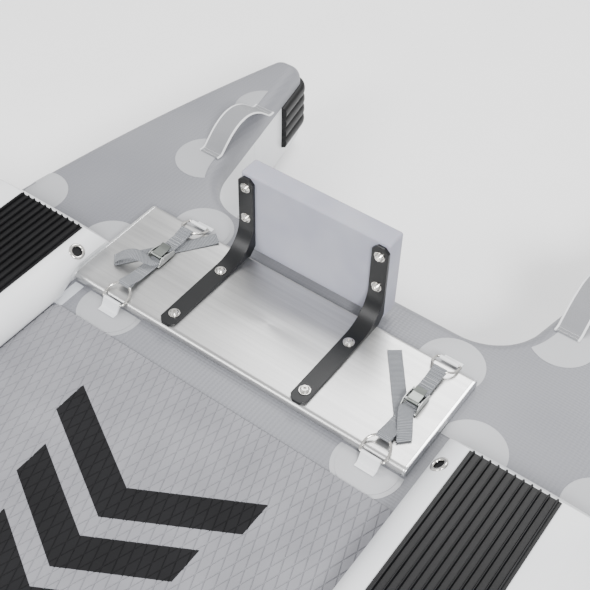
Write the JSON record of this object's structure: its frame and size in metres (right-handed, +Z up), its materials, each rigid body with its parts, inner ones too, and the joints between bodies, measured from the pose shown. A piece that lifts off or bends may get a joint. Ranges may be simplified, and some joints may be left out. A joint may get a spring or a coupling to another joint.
{
  "type": "inflatable dinghy",
  "caption": "Flat-hulled inflatable platform dinghy with a notched swallow-tail stern, low raised side chambers, a foam deck pad and a strapped-on motor mounting plate.",
  "frame": {"origin": "on the ground under the middle of the boat's overall box, on the centreline", "axes": "+X to the bow, +Y to port, +Z up"},
  "size_m": [2.85, 1.352, 0.397],
  "materials": {
    "hull_skin": "coated PVC fabric with a fine woven print-through",
    "white_skin": "satin coated PVC fabric",
    "white_patch": "satin coated PVC fabric",
    "clear_tape": "translucent weld tape",
    "black_rubber": "moulded ribbed rubber",
    "foam_pad": "closed-cell foam with pressed grooves",
    "foam_mark": "closed-cell foam inlay",
    "handle_webbing": "padded woven webbing with rolled ridges",
    "strap_webbing": "flat woven webbing with fine cross ribs",
    "plank_aluminium": "brushed along its length",
    "cap_aluminium": "bright rolled sheet",
    "block_plastic": "moulded, softly rounded",
    "bracket_coating": "satin powder coat",
    "stainless": "polished stainless steel",
    "buckle_steel": "stamped stainless sheet",
    "lever_coating": "passivated cast metal",
    "spring_steel": "drawn wire",
    "valve_plastic": "moulded nylon",
    "poppet_plastic": "moulded nylon"
  },
  "bodies": {
    "boat": {"hull_board": "hull_skin", "side_chamber_port": "white_skin", "side_chamber_stbd": "white_skin", "ribbed_cover_port": "black_rubber", "ribbed_cover_stbd": "black_rubber", "tail_bumper_port": "black_rubber", "tail_bumper_stbd": "black_rubber", "weld_tape_port": "clear_tape", "weld_tape_stbd": "clear_tape", "pad_inlay": "foam_mark", "deck_pad": "foam_pad", "corner_patches": "white_patch", "ring_patches": "white_patch", "handle_patches": "white_patch", "carry_handle_port": "handle_webbing", "carry_handle_stbd": "handle_webbing", "motor_plate": "plank_aluminium", "plate_end_caps": "cap_aluminium", "plate_inserts": "stainless", "transom_block": "block_plastic", "bracket_port": "bracket_coating", "bracket_stbd": "bracket_coating", "plate_screws": "stainless", "plate_washers": "stainless", "block_screws": "stainless", "block_washers": "stainless", "block_nuts": "stainless", "ring_loops": "white_skin", "cam_frame_port": "buckle_steel", "cam_frame_stbd": "buckle_steel", "cam_pin_port": "buckle_steel", "cam_pin_stbd": "buckle_steel", "cam_spring_port": "spring_steel", "cam_spring_stbd": "spring_steel", "strap_long_port": "strap_webbing", "strap_short_port": "strap_webbing", "strap_long_stbd": "strap_webbing", "strap_short_stbd": "strap_webbing", "strap_tail_port": "strap_webbing", "strap_tail_stbd": "strap_webbing", "eyelets": "stainless", "valve_bodies": "valve_plastic"},
    "ring_fore_port": {"d_ring_fore_port": "stainless"},
    "ring_fore_stbd": {"d_ring_fore_stbd": "stainless"},
    "ring_aft_port": {"d_ring_aft_port": "stainless"},
    "ring_aft_stbd": {"d_ring_aft_stbd": "stainless"},
    "lever_port": {"cam_lever_port": "lever_coating"},
    "lever_stbd": {"cam_lever_stbd": "lever_coating"},
    "cap_hull": {"valve_cap_hull": "valve_plastic"},
    "poppet_hull": {"valve_poppet_hull": "poppet_plastic"},
    "cap_port": {"valve_cap_port": "valve_plastic"},
    "poppet_port": {"valve_poppet_port": "poppet_plastic"},
    "cap_stbd": {"valve_cap_stbd": "valve_plastic"},
    "poppet_stbd": {"valve_poppet_stbd": "poppet_plastic"}
  },
  "joints": [
    {"name": "ring_fore_port_swing", "type": "hinge", "parent": "boat", "child": "ring_fore_port", "pos_m": [-0.6295, 0.27, 0.218], "axis": [0, 1, 0], "range_deg": [-2.5, 2.5]},
    {"name": "ring_fore_stbd_swing", "type": "hinge", "parent": "boat", "child": "ring_fore_stbd", "pos_m": [-0.6295, -0.27, 0.218], "axis": [0, 1, 0], "range_deg": [-2.5, 2.5]},
    {"name": "ring_aft_port_swing", "type": "hinge", "parent": "boat", "child": "ring_aft_port", "pos_m": [-0.8665, 0.27, 0.218], "axis": [0, -1, 0], "range_deg": [-2.5, 2.5]},
    {"name": "ring_aft_stbd_swing", "type": "hinge", "parent": "boat", "child": "ring_aft_stbd", "pos_m": [-0.8665, -0.27, 0.218], "axis": [0, -1, 0], "range_deg": [-2.5, 2.5]},
    {"name": "lever_port_swing", "type": "hinge", "parent": "boat", "child": "lever_port", "pos_m": [-0.749, 0.27, 0.2326], "axis": [0, 1, 0], "range_deg": [0, 80], "stiffness_Nm_per_rad": 0.02},
    {"name": "lever_stbd_swing", "type": "hinge", "parent": "boat", "child": "lever_stbd", "pos_m": [-0.75, -0.27, 0.2326], "axis": [0, 1, 0], "range_deg": [0, 80], "stiffness_Nm_per_rad": 0.02},
    {"name": "cap_hull_turn", "type": "hinge", "parent": "boat", "child": "cap_hull", "pos_m": [1.011, 0, 0.203], "axis": [0, 0, 1], "range_deg": [0, 90]},
    {"name": "poppet_hull_press", "type": "slide", "parent": "boat", "child": "poppet_hull", "axis": [0, 0, -1], "range_m": [0, 0.004], "stiffness_N_per_m": 400},
    {"name": "cap_port_turn", "type": "hinge", "parent": "boat", "child": "cap_port", "pos_m": [1.13087, 0.32043, 0.269], "axis": [0, 0, 1], "range_deg": [0, 90]},
    {"name": "poppet_port_press", "type": "slide", "parent": "boat", "child": "poppet_port", "axis": [0, 0, -1], "range_m": [0, 0.004], "stiffness_N_per_m": 400},
    {"name": "cap_stbd_turn", "type": "hinge", "parent": "boat", "child": "cap_stbd", "pos_m": [1.13087, -0.32043, 0.269], "axis": [0, 0, 1], "range_deg": [0, 90]},
    {"name": "poppet_stbd_press", "type": "slide", "parent": "boat", "child": "poppet_stbd", "axis": [0, 0, -1], "range_m": [0, 0.004], "stiffness_N_per_m": 400}
  ]
}
